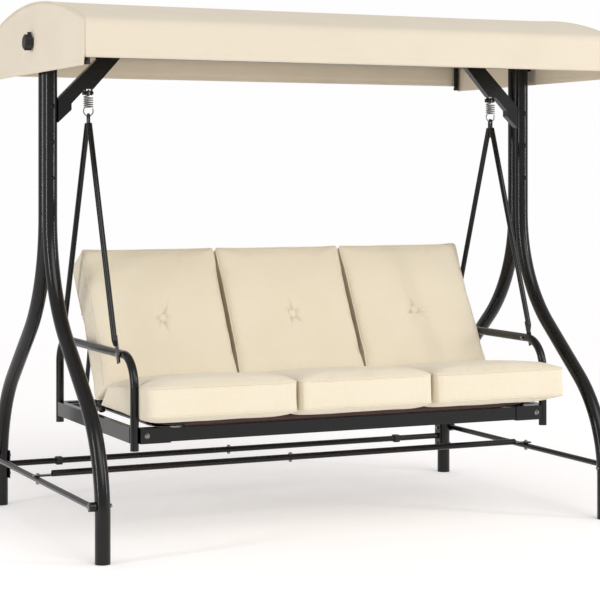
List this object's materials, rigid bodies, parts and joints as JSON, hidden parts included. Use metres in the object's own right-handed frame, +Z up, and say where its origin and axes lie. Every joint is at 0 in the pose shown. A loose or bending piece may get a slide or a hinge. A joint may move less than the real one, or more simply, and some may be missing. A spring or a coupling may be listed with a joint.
{
  "type": "canopy swing bench",
  "caption": "Garden swing bench with bent tube frame, padded seat hung from springs, a backrest that folds flat and a tilting fabric canopy.",
  "frame": {"origin": "on the floor, in the middle of the four feet", "axes": "+X along the bench to the right as seen by someone facing it, -Y towards the front, +Z up"},
  "size_m": [2.0064, 1.2058, 1.78],
  "materials": {
    "black_steel": "satin black powder coat",
    "black_plastic": "moulded, fine grain",
    "zinc_steel": "bright zinc plate",
    "nylon": "moulded nylon",
    "sling_mesh": "coated open weave",
    "cushion_fabric": "plain woven polyester over foam, piped edges",
    "canopy_fabric": "coated woven polyester"
  },
  "bodies": {
    "frame": {"leg_front_left": "black_steel", "leg_rear_left": "black_steel", "leg_front_right": "black_steel", "leg_rear_right": "black_steel", "posts_left": "black_steel", "posts_right": "black_steel", "foot_caps": "black_plastic", "brace_left": "black_steel", "brace_right": "black_steel", "top_beam": "black_steel", "side_stretcher_left": "black_steel", "side_stretcher_right": "black_steel", "centre_stretcher_left": "black_steel", "centre_stretcher_right": "black_steel", "rear_stretcher_left": "black_steel", "rear_stretcher_right": "black_steel", "rear_stretcher_clamps": "black_plastic", "post_bolts": "zinc_steel", "stretcher_bolts": "zinc_steel", "hanger_pins": "zinc_steel", "pivot_plates": "black_steel", "canopy_pivot_bolts": "zinc_steel"},
    "hanger": {"spring_bushes": "nylon", "spring_left": "zinc_steel", "spring_right": "zinc_steel"},
    "seat": {"hanger_links": "black_steel", "rods_left": "black_steel", "rods_right": "black_steel", "armrest_left": "black_steel", "armrest_right": "black_steel", "arm_plugs": "black_plastic", "side_rail_left": "black_steel", "side_rail_right": "black_steel", "front_rail": "black_steel", "front_rail_sleeves": "black_steel", "rear_rail": "black_steel", "prop_rests": "black_steel", "seat_frame": "black_steel", "seat_sling": "sling_mesh", "seat_cushion_left": "cushion_fabric", "seat_cushion_middle": "cushion_fabric", "seat_cushion_right": "cushion_fabric", "seat_bolts": "zinc_steel"},
    "backrest": {"back_frame": "black_steel", "back_sling": "sling_mesh", "back_cushion_left": "cushion_fabric", "back_cushion_middle": "cushion_fabric", "back_cushion_right": "cushion_fabric", "back_buttons": "cushion_fabric", "prop_bolts": "zinc_steel"},
    "prop": {"back_prop": "black_steel"},
    "canopy": {"canopy_arch_left": "black_steel", "canopy_arch_right": "black_steel", "canopy_rails": "black_steel", "canopy_end_bars": "black_steel", "canopy_end_caps": "black_plastic", "canopy_cover": "canopy_fabric"},
    "knob_left": {"knob_left": "black_plastic"},
    "knob_right": {"knob_right": "black_plastic"}
  },
  "joints": [
    {"name": "swing", "type": "hinge", "parent": "frame", "child": "hanger", "pos_m": [0, -0.0247, 1.48], "axis": [1, 0, 0], "range_deg": [-15, 15]},
    {"name": "spring_bounce", "type": "slide", "parent": "hanger", "child": "seat", "axis": [0, 0, 1], "range_m": [-0.012, 0.006], "stiffness_N_per_m": 30000, "springref_m": 0.01115, "deforming": ["spring_left", "spring_right"]},
    {"name": "back_recline", "type": "hinge", "parent": "seat", "child": "backrest", "pos_m": [0, 0.0135, 0.4045], "axis": [-1, 0, 0], "range_deg": [0, 61.5]},
    {"name": "prop_fold", "type": "hinge", "parent": "backrest", "child": "prop", "pos_m": [0, 0.18208, 0.71499], "axis": [-1, 0, 0], "range_deg": [0, 33]},
    {"name": "canopy_tilt", "type": "hinge", "parent": "frame", "child": "canopy", "pos_m": [0, 0, 1.647], "axis": [1, 0, 0], "range_deg": [-15, 15]},
    {"name": "knob_left_turn", "type": "hinge", "parent": "frame", "child": "knob_left", "pos_m": [-0.989, 0, 1.647], "axis": [-1, 0, 0], "range_deg": [-90, 180]},
    {"name": "knob_right_turn", "type": "hinge", "parent": "frame", "child": "knob_right", "pos_m": [0.989, 0, 1.647], "axis": [1, 0, 0], "range_deg": [-90, 180]}
  ],
  "couplings": [
    {"joint": "prop_fold", "follows": "back_recline", "ratio": 0.526}
  ]
}
